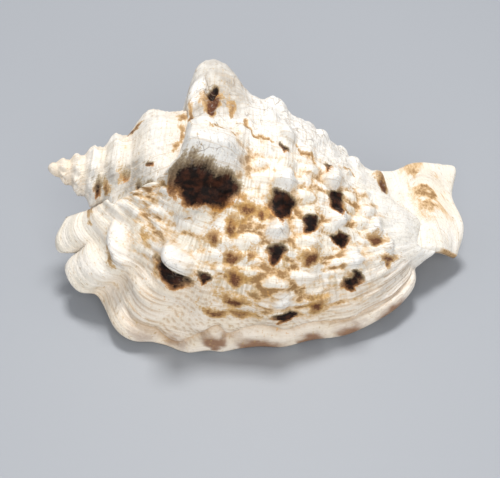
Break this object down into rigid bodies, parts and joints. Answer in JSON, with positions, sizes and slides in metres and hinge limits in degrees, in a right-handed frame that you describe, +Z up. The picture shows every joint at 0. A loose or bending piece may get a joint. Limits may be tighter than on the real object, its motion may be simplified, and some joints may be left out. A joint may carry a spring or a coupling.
{
  "type": "strombus shell",
  "caption": "Sea snail shell lying on its opening: pointed spire, last whorl with knobs and two tall horns, flared wavy lip and upturned spout, hollow and open underneath.",
  "frame": {"origin": "under the middle of the shell's box, on the surface that it rests on", "axes": "+X from the tip of the spire to the spout, +Y away from the lip, +Z up as the shell lies on its opening"},
  "size_m": [0.0856, 0.0516, 0.0402],
  "materials": {
    "shell": "chalky cream shell with brown and orange blotches, slightly glossy at the rim of the lip"
  },
  "bodies": {
    "root": {"shell": "shell"}
  },
  "joints": []
}
